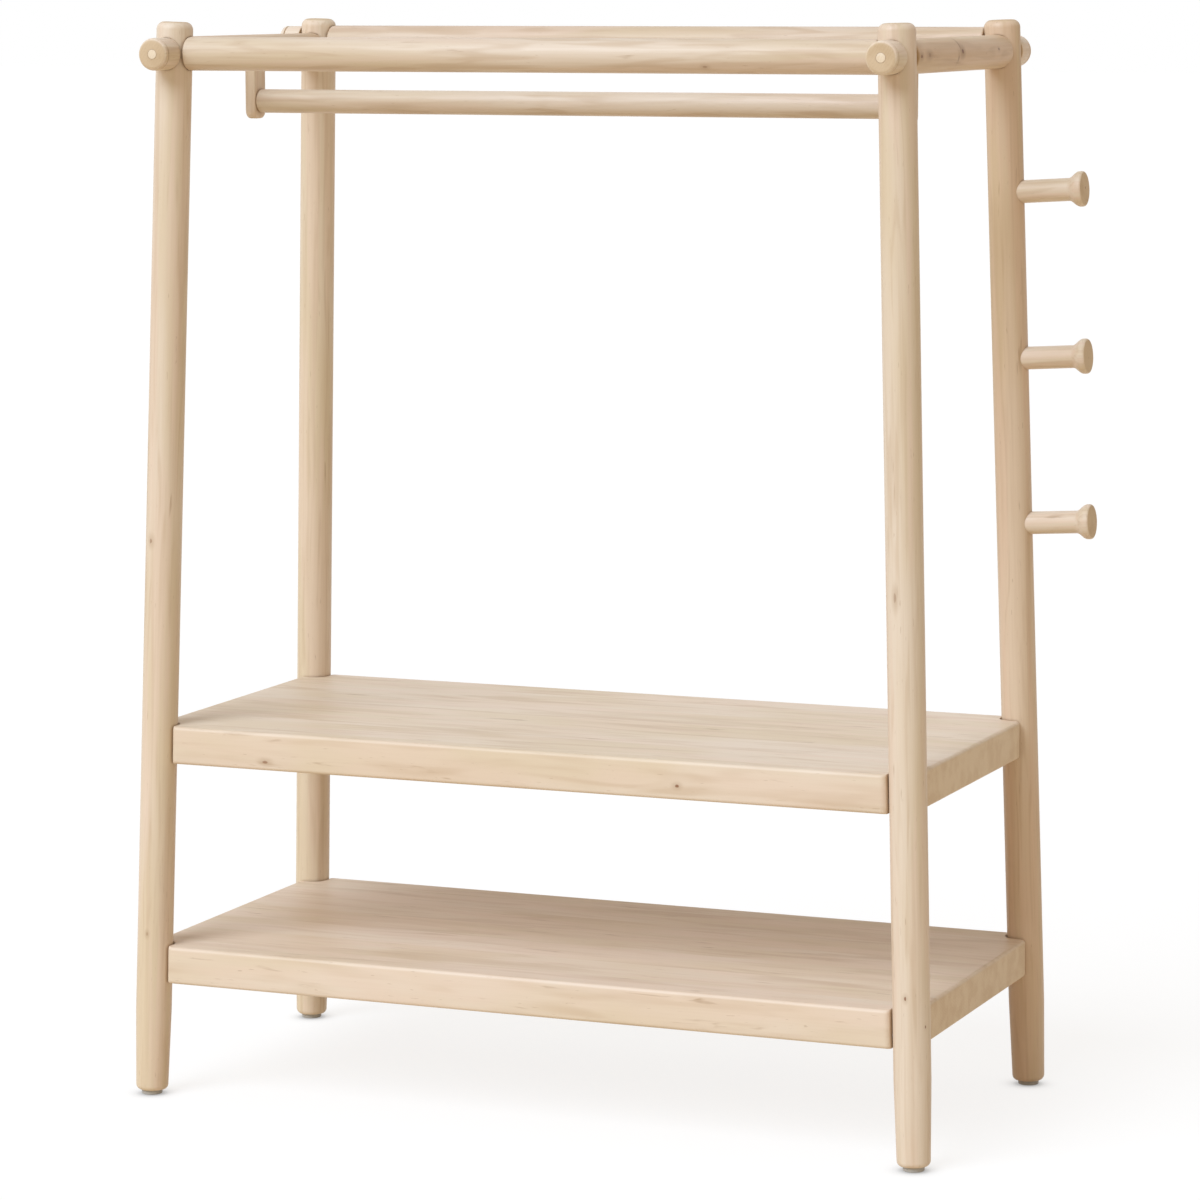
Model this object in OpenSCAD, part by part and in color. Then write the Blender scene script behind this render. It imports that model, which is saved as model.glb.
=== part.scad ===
// Free-standing wooden clothes rack: four round posts that lean inwards, a top frame of
// round rails held by bolts under turned knobs, a hanging rail on two drop brackets,
// two thick shelves with notched corners, three turned pegs and four levelling glides.
// Millimetres, +X to the right, +Y to the back, +Z up. The origin lies on the floor in
// the middle of the footprint, with the pegs counted in it.

/* [Posts] */
// Diameter of the posts
post_d = 38; // [36:0.5:42]
// Height of the post tops above the floor
post_top_z = 1140; // [1080:5:1240]
// Distance between the left and right post axes on the floor
foot_span_x = 860; // [760:5:960]
// Distance between the front and rear post axes on the floor
foot_span_y = 390; // [350:5:430]
// How far a post leans in along X for each metre of height
lean_x = 30; // [0:1:45]
// How far a post leans in along Y for each metre of height
lean_y = 21; // [0:1:30]
// Diameter of a post at its foot
foot_d = 34.5; // [33:0.5:36]
// Height over which the post tapers to its foot
taper_h = 92; // [60:1:110]
// Radius of the rounded edge at the foot
foot_round = 6; // [1:0.5:6]
// Radius of the rounded edge at the post's top
top_round = 8; // [1:0.5:9]

/* [Top frame] */
// Diameter of the front, rear and side rails
rail_d = 35; // [32:0.5:36]
// Height of the rail axes below the post tops
rail_drop = 33; // [30:1:60]
// How much higher the rear rail sits than the other three
rear_rail_rise = 8; // [8:0.5:9]
// Depth of the flat seats cut into the posts for rails and knobs
seat_depth = 1.5; // [1:0.1:3]
// Radius that eases the rail ends
rail_ease = 2; // [0.5:0.5:4]
// Diameter of the stub tenons on the rail ends
tenon_d = 18; // [14:0.5:19]
// Length of the glued tenons of the front and rear rails
long_tenon_l = 11; // [8:0.5:13]
// Length of the locating tenons of the side rails
side_tenon_l = 6.5; // [4:0.5:8]

/* [Knobs] */
// Length of the knobs opposite the side rails, from seat to face
knob_l = 32; // [26:0.5:45]
// Length of the knob opposite the rear rail
rear_knob_l = 24; // [20:0.5:34]
// Diameter of a knob
knob_d = 33.5; // [28:0.5:35]
// Radius of the knob's rounded face edge
knob_round = 3; // [1:0.5:4]
// Radius that eases the knob's edge at its seat
seat_ease = 1; // [0.5:0.1:2]
// Distance from the face to the turned groove
groove_at = 5; // [4.5:0.5:9]
// Width of the turned groove
groove_w = 1.2; // [0.6:0.1:2]
// Depth of the turned groove
groove_depth = 0.9; // [0.4:0.1:1.5]
// Diameter of the wooden plug over the bolt head
plug_d = 10; // [9.6:0.1:14]
// Length of the wooden plug
plug_l = 7; // [4:0.5:10]
// Height that the plug stands proud of the knob's face
plug_proud = 0.3; // [0:0.1:1]

/* [Frame bolts] */
// Diameter of the bolts that hold the side rails and the rear rail's left end
bolt_d = 6; // [5:0.5:7]
// Diameter of the bolt heads
bolt_head_d = 9.5; // [9:0.1:9.6]
// Height of the bolt heads
bolt_head_h = 6; // [4:0.5:8]
// Diameter of the barrel nuts
nut_d = 10; // [9.5:0.5:14]
// Length of the barrel nuts
nut_l = 18; // [14:0.5:22]
// Distance from a rail's end to its barrel nut
nut_in = 30; // [20:1:45]
// Length of bolt that passes beyond the nut's axis
bolt_past_nut = 8; // [6:0.5:14]

/* [Hanging rail] */
// Diameter of the hanging rail
hang_d = 25; // [20:0.5:26]
// Height of the hanging rail's axis below the side rails' axes
hang_drop = 52; // [44:1:90]
// Distance of the hanging rail in front of the rack's middle
hang_forward = 45; // [0:1:80]
// Radius that eases the hanging rail's ends
hang_ease = 2; // [0.5:0.5:4]
// Thickness of a drop bracket
bracket_t = 12; // [10:0.5:16]
// Width of a drop bracket
bracket_w = 27; // [26:0.5:34]
// Radius of the corners at a bracket's lower end
bracket_corner = 9; // [3:0.5:12]
// Distance from the hanging rail's axis to the bracket's lower end
bracket_below = 18.5; // [15:0.5:30]
// Distance from a side rail's axis to the middle of its bracket
bracket_inset = 30; // [26:0.5:45]
// Diameter of the boss that seats a bracket on the side rail
boss_d = 24; // [18:0.5:26]
// Depth of the flat seat cut into the side rail for the boss
boss_seat_depth = 1; // [0.5:0.1:2]
// Diameter of the screws that hold the brackets to the side rails
bracket_screw_d = 6; // [4:0.5:8]
// Length of the screws that hold the brackets
bracket_screw_l = 38; // [30:1:42]
// Diameter of the screws in the ends of the hanging rail
end_screw_d = 5; // [4:0.5:6]
// Length of the screws in the ends of the hanging rail
end_screw_l = 50; // [30:1:70]

/* [Shelves] */
// Thickness of the shelves
shelf_t = 40; // [32:1:48]
// Height of the upper shelf's top face
upper_shelf_z = 400; // [300:5:560]
// Height of the lower shelf's top face
lower_shelf_z = 163; // [155:1:220]
// How far the shelf ends lie outside the post axes along X
shelf_out_x = 8; // [4:0.5:14]
// How far the shelf edges lie outside the post axes along Y
shelf_out_y = 12; // [10:0.5:16]
// Radius that rounds the shelf edges
shelf_round = 3.5; // [1:0.5:8]
// Diameter of the bolts between posts and shelves
cam_bolt_d = 7; // [5:0.5:8]
// Diameter of the cams that pull the shelf bolts tight
cam_d = 15; // [12:0.5:18]
// Height of the cams
cam_h = 18; // [17:0.5:22]
// Distance from the corner's cut face to the cam's axis
cam_in = 34; // [24:1:50]
// Width of the driver slot in a cam
cam_slot_w = 1.2; // [0.8:0.1:2]
// Depth of the driver slot in a cam
cam_slot_depth = 1.5; // [0.5:0.1:3]
// Height of the shelf bolts above the shelf's underside
cam_bolt_up = 12; // [8:0.5:13]

/* [Pegs] */
// Diameter of a peg's shaft
peg_d = 24; // [18:0.5:26]
// Diameter of a peg's head
peg_head_d = 37; // [28:0.5:44]
// How far a peg's face stands from the post axis
peg_reach = 86; // [70:1:110]
// Length of the straight part of a peg's head
peg_head_l = 9; // [7:0.5:14]
// Length of the flare from the shaft to the head
peg_flare_l = 8; // [4:0.5:12]
// Radius of the rounded edges of a peg's head
peg_round = 3.5; // [1:0.5:3.5]
// Upward tilt of the pegs in degrees
peg_tilt = 3.5; // [0:0.5:8]
// Distance from the post's top to the highest peg
highest_peg_drop = 180; // [120:5:200]
// Distance from one peg to the next
peg_step = 175; // [100:5:190]
// Diameter of a peg's tenon
peg_tenon_d = 14; // [10:0.5:16]
// Depth of a peg's tenon in the post, past the post axis
peg_tenon_past = 6; // [0:0.5:8]

/* [Glides] */
// Diameter of a levelling glide
glide_d = 22; // [18:0.5:26]
// Thickness of a glide's disc
glide_h = 5; // [4:0.5:8]
// Radius of the eased edges of a glide's disc
glide_ease = 1; // [0.5:0.1:1.8]
// Diameter of a glide's threaded stud
stud_d = 8; // [6:0.5:10]
// Length of a glide's threaded stud
stud_l = 22; // [18:1:30]
// Diameter of the threaded insert in the post's foot
insert_d = 12; // [11.5:0.5:16]
// Length of the threaded insert
insert_l = 18; // [12:1:24]

/* [Clearances] */
// Clearance between glued, bolted and seated pieces
fit_gap = 0.1; // [0.05:0.05:0.15]
// Clearance between the shelves' cut corners and the posts
shelf_gap = 0.3; // [0.2:0.1:1]
// Clearance between a glide's disc and the foot above it
glide_gap = 0.3; // [0.2:0.1:1]
// Radial clearance between a glide's stud and its insert
stud_gap = 0.05; // [0.02:0.01:0.1]
// Clearance across the hole above a glide's insert
stud_hole_gap = 1; // [0.5:0.1:1.4]
// Room above the tip of a glide's stud
stud_tip_room = 3; // [1:0.5:6]
// Room beyond the tip of a frame bolt
bolt_tip_room = 2; // [1:0.5:6]

/* [Hidden] */
$fn = 96;

// Sides of the rack, as signs along X and Y
left = -1;
right = 1;
front = -1;
rear = 1;

// Radii and lean
post_r = post_d / 2;
rail_r = rail_d / 2;
slope_x = lean_x / 1000;
slope_y = lean_y / 1000;
lean_angle = atan(norm([slope_x, slope_y]));
post_l = post_top_z / cos(lean_angle);
past = 1; // how far a cutting shape runs past the face that it cuts
foot_trim = 0.4; // least height of the turned foot that the level cut takes off
seat_room = 0.6; // how much wider a flat seat is cut than the piece that it carries
tenon_ease = 1; // rounding at a tenon's tip
plug_ease = 0.4; // rounding at a plug's ends
bolt_ease = 0.6; // rounding at a shelf bolt's ends

// Heights
rail_z = post_top_z - rail_drop;
rear_rail_z = rail_z + rear_rail_rise;
hang_z = rail_z - hang_drop;
lowest_peg_z = post_top_z - highest_peg_drop - 2 * peg_step;
foot_z = glide_h + glide_gap;

// The rack's middle plane, set so that the origin is centred between the outermost
// points: the rear rail's knob or a left post's outer side, and the lowest peg's head
peg_tip_x = foot_span_x / 2 - slope_x * lowest_peg_z + peg_reach * cos(peg_tilt)
    + (peg_head_d / 2 - peg_round) * sin(peg_tilt);
taper_out_x = foot_span_x / 2 - slope_x * taper_h + post_r;
foot_out_x = foot_span_x / 2 - slope_x * (foot_z + foot_round) + foot_d / 2;
knob_out_x = foot_span_x / 2 - slope_x * rear_rail_z + post_r - seat_depth + fit_gap
    + rear_knob_l + plug_proud;
mid_x = (max(taper_out_x, foot_out_x, knob_out_x) - peg_tip_x) / 2;

// Place of a post's axis at a height, for the side signs given
function post_x(side, z) = mid_x + side * (foot_span_x / 2 - slope_x * z);
function post_y(side, z) = side * (foot_span_y / 2 - slope_y * z);

// Distance from a post's axis to the flat seats for rails and knobs
seat = post_r - seat_depth;
// Half lengths of the rails between their seats
front_half_l = post_x(right, rail_z) - mid_x - seat - fit_gap;
rear_half_l = post_x(right, rear_rail_z) - mid_x - seat - fit_gap;
side_half_l = post_y(rear, rail_z) - seat - fit_gap;
// Distance from a knob's inner end, through the post, to the shoulder of the rail opposite
through_post = 2 * (seat + fit_gap);
// Distances from the side rails' axes to the faces of the drop brackets
bracket_outer = bracket_inset - bracket_t / 2;
bracket_inner = bracket_inset + bracket_t / 2;
boss_seat = rail_r - boss_seat_depth;
hang_half_l = post_x(right, rail_z) - mid_x - bracket_inner - fit_gap;

// Screw heads and the hexagonal sockets, by the usual shares of the thread's diameter
pan_head_d = bracket_screw_d * 1.8;
pan_head_h = bracket_screw_d * 0.6;
pan_sunk = pan_head_h + 0.4;
flat_head_d = end_screw_d * 2;
flat_head_h = end_screw_d * 0.6;
hex_socket_d = bolt_d * 0.9;

steel = [0.62, 0.62, 0.64];
zinc = [0.72, 0.72, 0.7];
nylon = [0.55, 0.55, 0.56];
beech = [0.87, 0.78, 0.67];
beech_shade = [0.82, 0.72, 0.6];
beech_end = [0.93, 0.86, 0.76];

// Points along an arc about c, from angle a to angle b
function arc(c, r, a, b, steps = 6) =
    [for (i = [0 : steps]) c + r * [cos(a + (b - a) * i / steps), sin(a + (b - a) * i / steps)]];

// A turned rod of radius r and length l along +Z, with both ends eased
module eased_rod(r, l, ease) {
    rotate_extrude()
        polygon(concat([[0, 0]], arc([r - ease, ease], ease, -90, 0),
            arc([r - ease, l - ease], ease, 0, 90), [[0, l]]));
}

// Turns the +Z axis to the +X or to the +Y axis
module along_x() rotate([0, 90, 0]) children();
module along_y() rotate([-90, 0, 0]) children();

// Moves to a post's foot and leans with it
module on_post(sx, sy) {
    translate([post_x(sx, 0), post_y(sy, 0), 0])
        rotate([0, lean_angle, atan2(-sy * slope_y, -sx * slope_x)])
            children();
}

// The turned outline of a post, with its tapered foot. It starts a little under the
// level cut, so that the cut meets the rounded edge all the way round.
module post_blank() {
    foot_r = foot_d / 2;
    start_z = foot_z - foot_r * sin(lean_angle) - foot_trim;
    // a quarter turn keeps the seam of the turned surface away from the cut's lowest point
    rotate([0, 0, 90]) rotate_extrude()
        polygon(concat([[0, start_z]],
            arc([foot_r - foot_round, start_z + foot_round], foot_round, -90, 0),
            [[post_r, taper_h]],
            arc([post_r - top_round, post_l - top_round], top_round, 0, 90),
            [[0, post_l]]));
}

// A straight cylinder with the post's axis, used where pieces are cut to meet the post
module post_core(sx, sy, r) {
    on_post(sx, sy) translate([0, 0, -past]) cylinder(r = r, h = post_l + 2 * past);
}

// The flat seat, the tenon bore and the bolt hole that a rail or knob needs in a post.
// Drawn along +Z away from the post's axis.
module seat_cut(bore_d, bore_l) {
    translate([0, 0, seat]) cylinder(d = rail_d + seat_room, h = post_r);
    translate([0, 0, seat - bore_l - fit_gap])
        cylinder(d = bore_d + 2 * fit_gap, h = bore_l + fit_gap + past);
}

module post(sx, sy) {
    long_z = sy == front ? rail_z : rear_rail_z;
    difference() {
        on_post(sx, sy) post_blank();
        // level foot
        translate([post_x(sx, 0) - post_d, post_y(sy, 0) - post_d, -post_d])
            cube([2 * post_d, 2 * post_d, post_d + foot_z]);
        // seat and tenon bore of the front or rear rail
        translate([post_x(sx, long_z), post_y(sy, long_z), long_z])
            rotate([0, -sx * 90, 0]) seat_cut(tenon_d, long_tenon_l);
        translate([post_x(sx, rail_z), post_y(sy, rail_z), rail_z]) {
            // seat and tenon bore of the side rail, and the knob's seat opposite
            rotate([sy * 90, 0, 0]) seat_cut(tenon_d, side_tenon_l);
            rotate([-sy * 90, 0, 0]) translate([0, 0, seat])
                cylinder(d = knob_d + seat_room, h = post_r);
            // bolt hole
            rotate([90, 0, 0]) cylinder(d = bolt_d + 4 * fit_gap, h = 2 * post_d, center = true);
        }
        if (sx == left && sy == rear)
            translate([post_x(left, rear_rail_z), post_y(rear, rear_rail_z), rear_rail_z])
                rotate([0, -90, 0]) {
                    // the seat of the rear rail's knob, and the hole for its bolt
                    translate([0, 0, seat]) cylinder(d = knob_d + seat_room, h = post_r);
                    cylinder(d = bolt_d + 4 * fit_gap, h = 2 * post_d, center = true);
                }
        for (z = [upper_shelf_z, lower_shelf_z]) shelf_bolt_hole(sx, sy, z);
        // insert bore and stud hole
        translate([post_x(sx, foot_z), post_y(sy, foot_z), 0]) {
            cylinder(d = insert_d + 2 * fit_gap, h = foot_z + insert_l + fit_gap);
            cylinder(d = stud_d + stud_hole_gap, h = glide_h + stud_l + stud_tip_room);
        }
        if (sx == right && sy == rear)
            for (i = [0 : 2]) peg_tenon(i, fit_gap);
    }
}

// Places a peg's axis, with +Z pointing out of the post
module at_peg(i) {
    z = lowest_peg_z + i * peg_step;
    translate([post_x(right, z), post_y(rear, z), z]) rotate([0, 90 - peg_tilt, 0]) children();
}

// The tenon of a peg, or its bore where a gap is given
module peg_tenon(i, gap = 0) {
    at_peg(i) translate([0, 0, -peg_tenon_past - gap])
        cylinder(d = peg_tenon_d + 2 * gap, h = peg_tenon_past + post_r + gap);
}

// A turned peg: shaft, flare and rounded head, cut to sit on the post
module peg(i) {
    shaft_r = peg_d / 2;
    head_r = peg_head_d / 2;
    flare_z = peg_reach - peg_head_l - peg_flare_l;
    flare = [for (k = [0 : 8])
        [shaft_r + (head_r - shaft_r) * (1 - cos(180 * k / 8)) / 2, flare_z + peg_flare_l * k / 8]];
    difference() {
        at_peg(i) rotate_extrude()
            polygon(concat([[0, 0], [shaft_r, 0]], flare,
                arc([head_r - peg_round, peg_reach - peg_round], peg_round, 0, 90),
                [[0, peg_reach]]));
        post_core(right, rear, post_r + fit_gap);
    }
    peg_tenon(i);
}

// Front and rear rails, with glued stub tenons
module long_rail(sy, z, half_l) {
    tip = half_l + long_tenon_l;
    translate([mid_x, post_y(sy, z), z]) along_x() {
        translate([0, 0, -half_l]) eased_rod(rail_r, 2 * half_l, rail_ease);
        translate([0, 0, -tip]) eased_rod(tenon_d / 2, 2 * tip, tenon_ease);
    }
}

// The rear rail, whose left end is also bolted
module rear_rail() {
    difference() {
        long_rail(rear, rear_rail_z, rear_half_l);
        at_rear_rail_knob() rail_bores();
    }
}

// The bolt hole and the barrel nut's bore in a rail, seen from the knob opposite
module rail_bores() {
    hole_l = through_post + nut_in + bolt_past_nut + bolt_tip_room;
    translate([0, 0, -hole_l]) cylinder(d = bolt_d + 4 * fit_gap, h = hole_l);
    translate([0, rail_r, -through_post - nut_in])
        rotate([90, 0, 0]) cylinder(d = nut_d + 2 * fit_gap, h = rail_r + nut_l / 2 + fit_gap);
}

// Side rails, with locating tenons, bolt holes, barrel nut bores and a bracket seat
module side_rail(sx) {
    tip = side_half_l + side_tenon_l;
    difference() {
        translate([post_x(sx, rail_z), 0, rail_z]) along_y() {
            translate([0, 0, -side_half_l]) eased_rod(rail_r, 2 * side_half_l, rail_ease);
            translate([0, 0, -tip]) eased_rod(tenon_d / 2, 2 * tip, tenon_ease);
        }
        for (sy = [front, rear]) at_knob(sx, sy) rail_bores();
        // flat seat and pilot hole for the drop bracket
        at_bracket(sx, rail_z) {
            translate([0, 0, boss_seat]) cylinder(d = boss_d + seat_room, h = rail_r);
            translate([0, 0, bracket_inner - pan_sunk - bracket_screw_l - fit_gap])
                cylinder(d = bracket_screw_d + 2 * fit_gap, h = bracket_screw_l);
        }
    }
}

// Moves to a side rail's axis at the hanging rail's depth; +Z points inwards along X
module at_bracket(sx, z) {
    translate([post_x(sx, rail_z), -hang_forward, z]) rotate([0, -sx * 90, 0]) children();
}

// A turned knob of length l, along +Z from its seat
module knob(l = knob_l) {
    r = knob_d / 2;
    g0 = l - groove_at - groove_w;
    g1 = l - groove_at;
    difference() {
        rotate_extrude()
            polygon(concat([[0, 0]], arc([r - seat_ease, seat_ease], seat_ease, -90, 0),
                [[r, g0], [r - groove_depth, (g0 + g1) / 2], [r, g1]],
                arc([r - knob_round, l - knob_round], knob_round, 0, 90),
                [[0, l]]));
        translate([0, 0, -past]) cylinder(d = bolt_d + 4 * fit_gap, h = l);
        translate([0, 0, head_seat(l)]) cylinder(d = plug_d + 2 * fit_gap, h = l);
    }
}

// Height of the bolt head's seat above the inner end of a knob of length l
function head_seat(l) = l - plug_l - bolt_head_h - fit_gap;

// Moves to a knob's seat opposite a side rail; +Z points away from the rack, +Y down
module at_knob(sx, sy) {
    translate([post_x(sx, rail_z), post_y(sy, rail_z) + sy * (seat + fit_gap), rail_z])
        rotate([-sy * 90, 0, 0]) rotate([0, 0, sy == front ? 180 : 0]) children();
}

// Moves to the seat of the rear rail's knob, in the same way
module at_rear_rail_knob() {
    translate([post_x(left, rear_rail_z) - seat - fit_gap, post_y(rear, rear_rail_z), rear_rail_z])
        rotate([0, -90, 0]) rotate([0, 0, 90]) children();
}

module at_side_rail_knobs() {
    for (sx = [left, right], sy = [front, rear]) at_knob(sx, sy) children();
}

module knob_plugs() {
    at_side_rail_knobs() knob_plug(knob_l);
    at_rear_rail_knob() knob_plug(rear_knob_l);
}

// The plug of a knob of length l
module knob_plug(l) {
    translate([0, 0, l - plug_l]) eased_rod(plug_d / 2, plug_l + plug_proud, plug_ease);
}

module frame_bolts() {
    at_side_rail_knobs() frame_bolt(head_seat(knob_l));
    at_rear_rail_knob() frame_bolt(head_seat(rear_knob_l));
}

// A socket head bolt through a knob and a post into a rail, with its head seated at seat_z
module frame_bolt(seat_z) {
    shank = seat_z + through_post + nut_in + bolt_past_nut;
    difference() {
        union() {
            translate([0, 0, seat_z]) cylinder(d = bolt_head_d, h = bolt_head_h - fit_gap);
            translate([0, 0, seat_z - shank]) cylinder(d = bolt_d, h = shank);
        }
        translate([0, 0, seat_z + bolt_head_h / 2])
            cylinder(d = hex_socket_d, h = bolt_head_h, $fn = 6);
    }
}

module barrel_nuts() {
    at_side_rail_knobs() barrel_nut();
    at_rear_rail_knob() barrel_nut();
}

// A cross bored barrel nut, in a rail
module barrel_nut() {
    translate([0, 0, -through_post - nut_in]) difference() {
        rotate([90, 0, 0]) cylinder(d = nut_d, h = nut_l, center = true);
        cylinder(d = bolt_d + 2 * fit_gap, h = 2 * nut_d, center = true);
    }
}

module hanging_rail() {
    pilot = end_screw_l - bracket_t + 1;
    translate([mid_x, -hang_forward, hang_z]) along_x() difference() {
        translate([0, 0, -hang_half_l]) eased_rod(hang_d / 2, 2 * hang_half_l, hang_ease);
        for (s = [left, right])
            translate([0, 0, s == left ? -hang_half_l - past : hang_half_l - pilot])
                cylinder(d = end_screw_d + 2 * fit_gap, h = pilot + past);
    }
}

// A drop bracket: a flat bar with rounded ends and a boss that seats on the side rail.
// Its outline is drawn with x along the rack's Y axis and y up from the hanging rail.
module bracket_outline() {
    half_w = bracket_w / 2;
    corner = min(bracket_corner, half_w);
    polygon(concat(
        arc([half_w - corner, corner - bracket_below], corner, -90, 0),
        arc([0, hang_drop], half_w, 0, 180, 16),
        arc([corner - half_w, corner - bracket_below], corner, 180, 270)));
}

module drop_bracket(sx) {
    boss_l = bracket_outer - boss_seat - fit_gap;
    difference() {
        union() {
            translate([post_x(sx, rail_z) - sx * bracket_inset, -hang_forward, hang_z])
                rotate([90, 0, 90])
                    linear_extrude(height = bracket_t, center = true) bracket_outline();
            at_bracket(sx, rail_z) translate([0, 0, boss_seat + fit_gap])
                cylinder(d = boss_d, h = boss_l + past);
        }
        at_bracket(sx, rail_z) {
            cylinder(d = bracket_screw_d + 2 * fit_gap, h = bracket_inner + past);
            translate([0, 0, bracket_inner - pan_sunk])
                cylinder(d = pan_head_d + 4 * fit_gap, h = pan_sunk + past);
        }
        at_bracket(sx, hang_z) {
            cylinder(d = end_screw_d + 2 * fit_gap, h = bracket_inner + past);
            translate([0, 0, bracket_outer + fit_gap])
                cylinder(d1 = flat_head_d + 2 * fit_gap, d2 = end_screw_d + 2 * fit_gap, h = flat_head_h);
            translate([0, 0, bracket_outer - past])
                cylinder(d = flat_head_d + 2 * fit_gap, h = past + fit_gap);
        }
    }
}

// Pan head screws that hold the brackets to the side rails
module bracket_screws() {
    for (sx = [left, right])
        at_bracket(sx, rail_z) translate([0, 0, bracket_inner - pan_sunk]) {
            translate([0, 0, -bracket_screw_l])
                cylinder(d = bracket_screw_d, h = bracket_screw_l + past);
            cylinder(d1 = pan_head_d, d2 = pan_head_d * 0.8, h = pan_head_h);
        }
}

// Countersunk screws through the brackets into the hanging rail's ends
module hanging_rail_screws() {
    for (sx = [left, right])
        at_bracket(sx, hang_z) translate([0, 0, bracket_outer + fit_gap]) {
            cylinder(d1 = flat_head_d, d2 = end_screw_d, h = flat_head_h);
            cylinder(d = end_screw_d, h = end_screw_l);
        }
}

// A slab with rounded long edges, from z = -t to z = 0
module rounded_slab(half_x, half_y, t, r) {
    intersection() {
        rotate([90, 0, 0]) linear_extrude(height = 4 * half_y, center = true)
            rounded_rectangle(half_x, t, r);
        rotate([90, 0, 90]) linear_extrude(height = 4 * half_x, center = true)
            rounded_rectangle(half_y, t, r);
    }
}

module rounded_rectangle(half_w, t, r) {
    polygon(concat(
        arc([half_w - r, -r], r, 0, 90, 5), arc([r - half_w, -r], r, 90, 180, 5),
        arc([r - half_w, r - t], r, 180, 270, 5), arc([half_w - r, r - t], r, 270, 360, 5)));
}

// Height of the bolts that hold a shelf whose top is at z
function cam_bolt_z(z) = z - shelf_t + cam_bolt_up;

// Distance from a post's axis to the cut faces of a shelf's corners
notch = post_r + shelf_gap;

module shelf(z) {
    half_x = post_x(right, z) - mid_x + shelf_out_x;
    half_y = post_y(rear, z) + shelf_out_y;
    difference() {
        translate([mid_x, 0, z]) rounded_slab(half_x, half_y, shelf_t, shelf_round);
        for (sx = [left, right], sy = [front, rear]) {
            corner_notch(sx, sy, z);
            shelf_bolt_hole(sx, sy, z);
            translate([cam_x(sx, z), post_y(sy, cam_bolt_z(z)), z - shelf_t - past])
                cylinder(d = cam_d + 2 * fit_gap, h = cam_h + 2 * fit_gap + past);
        }
    }
}

// The corner cut out of a shelf, leaning with its post so that both faces seat evenly
module corner_notch(sx, sy, z) {
    reach = 2 * post_d;
    translate([post_x(sx, z), post_y(sy, z), z])
        rotate([sy * atan(slope_y), -sx * atan(slope_x), 0])
            translate([sx > 0 ? -notch : notch - reach, sy > 0 ? -notch : notch - reach, -2 * shelf_t])
                cube([reach, reach, 3 * shelf_t]);
}

// Along X, the middle of the cam that holds a corner of the shelf whose top is at z
function cam_x(sx, z) = post_x(sx, cam_bolt_z(z)) - sx * (notch + cam_in);

module shelf_bolt_hole(sx, sy, z) {
    bz = cam_bolt_z(z);
    translate([post_x(sx, bz), post_y(sy, bz), bz]) rotate([0, -sx * 90, 0])
        translate([0, 0, -fit_gap])
            cylinder(d = cam_bolt_d + 2 * fit_gap, h = notch + cam_in + fit_gap);
}

// The bolts between the posts and the shelf whose top is at z
module shelf_bolts(z) {
    bz = cam_bolt_z(z);
    for (sx = [left, right], sy = [front, rear])
        translate([post_x(sx, bz), post_y(sy, bz), bz]) rotate([0, -sx * 90, 0])
            eased_rod(cam_bolt_d / 2, notch + cam_in - past, bolt_ease);
}

// The cams, let into the shelf's underside
module shelf_cams(z) {
    bz = cam_bolt_z(z);
    slot_l = cam_d / 2 + past;
    for (sx = [left, right], sy = [front, rear]) difference() {
        translate([cam_x(sx, z), post_y(sy, bz), z - shelf_t + fit_gap]) cylinder(d = cam_d, h = cam_h);
        translate([cam_x(sx, z), post_y(sy, bz), bz]) rotate([0, sx * 90, 0])
            cylinder(d = cam_bolt_d + 2 * fit_gap, h = slot_l);
        translate([cam_x(sx, z) - cam_d / 2, post_y(sy, bz) - cam_slot_w / 2, z - shelf_t - past])
            cube([cam_d, cam_slot_w, past + fit_gap + cam_slot_depth]);
    }
}

// A levelling glide: a disc on a threaded stud
module glide(sx, sy) {
    translate([post_x(sx, foot_z), post_y(sy, foot_z), 0]) {
        eased_rod(glide_d / 2, glide_h, glide_ease);
        translate([0, 0, glide_h - past]) cylinder(d = stud_d, h = stud_l + past);
    }
}

module glide_inserts() {
    for (sx = [left, right], sy = [front, rear])
        translate([post_x(sx, foot_z), post_y(sy, foot_z), foot_z]) difference() {
            cylinder(d = insert_d, h = insert_l);
            translate([0, 0, -past])
                cylinder(r = stud_d / 2 + stud_gap, h = insert_l + 2 * past);
        }
}

color(beech) post(left, front);  // front_left_post
color(beech) post(right, front);  // front_right_post
color(beech) post(left, rear);  // rear_left_post
color(beech) post(right, rear);  // rear_right_post
color(beech) long_rail(front, rail_z, front_half_l);  // front_rail
color(beech) rear_rail();
color(beech) side_rail(left);  // left_side_rail
color(beech) side_rail(right);  // right_side_rail
color(beech_shade) at_knob(left, front) knob();  // front_left_knob
color(beech_shade) at_knob(right, front) knob();  // front_right_knob
color(beech_shade) at_knob(left, rear) knob();  // rear_left_knob
color(beech_shade) at_knob(right, rear) knob();  // rear_right_knob
color(beech_shade) at_rear_rail_knob() knob(rear_knob_l);  // rear_rail_knob
color(beech_end) knob_plugs();
color(steel) frame_bolts();
color(zinc) barrel_nuts();
color(beech) hanging_rail();
color(beech_shade) drop_bracket(left);  // left_drop_bracket
color(beech_shade) drop_bracket(right);  // right_drop_bracket
color(steel) bracket_screws();
color(steel) hanging_rail_screws();
color(beech) shelf(upper_shelf_z);  // upper_shelf
color(beech) shelf(lower_shelf_z);  // lower_shelf
color(steel) shelf_bolts(upper_shelf_z);  // upper_shelf_bolts
color(steel) shelf_bolts(lower_shelf_z);  // lower_shelf_bolts
color(zinc) shelf_cams(upper_shelf_z);  // upper_shelf_cams
color(zinc) shelf_cams(lower_shelf_z);  // lower_shelf_cams
color(beech_shade) peg(2);  // upper_peg
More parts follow.
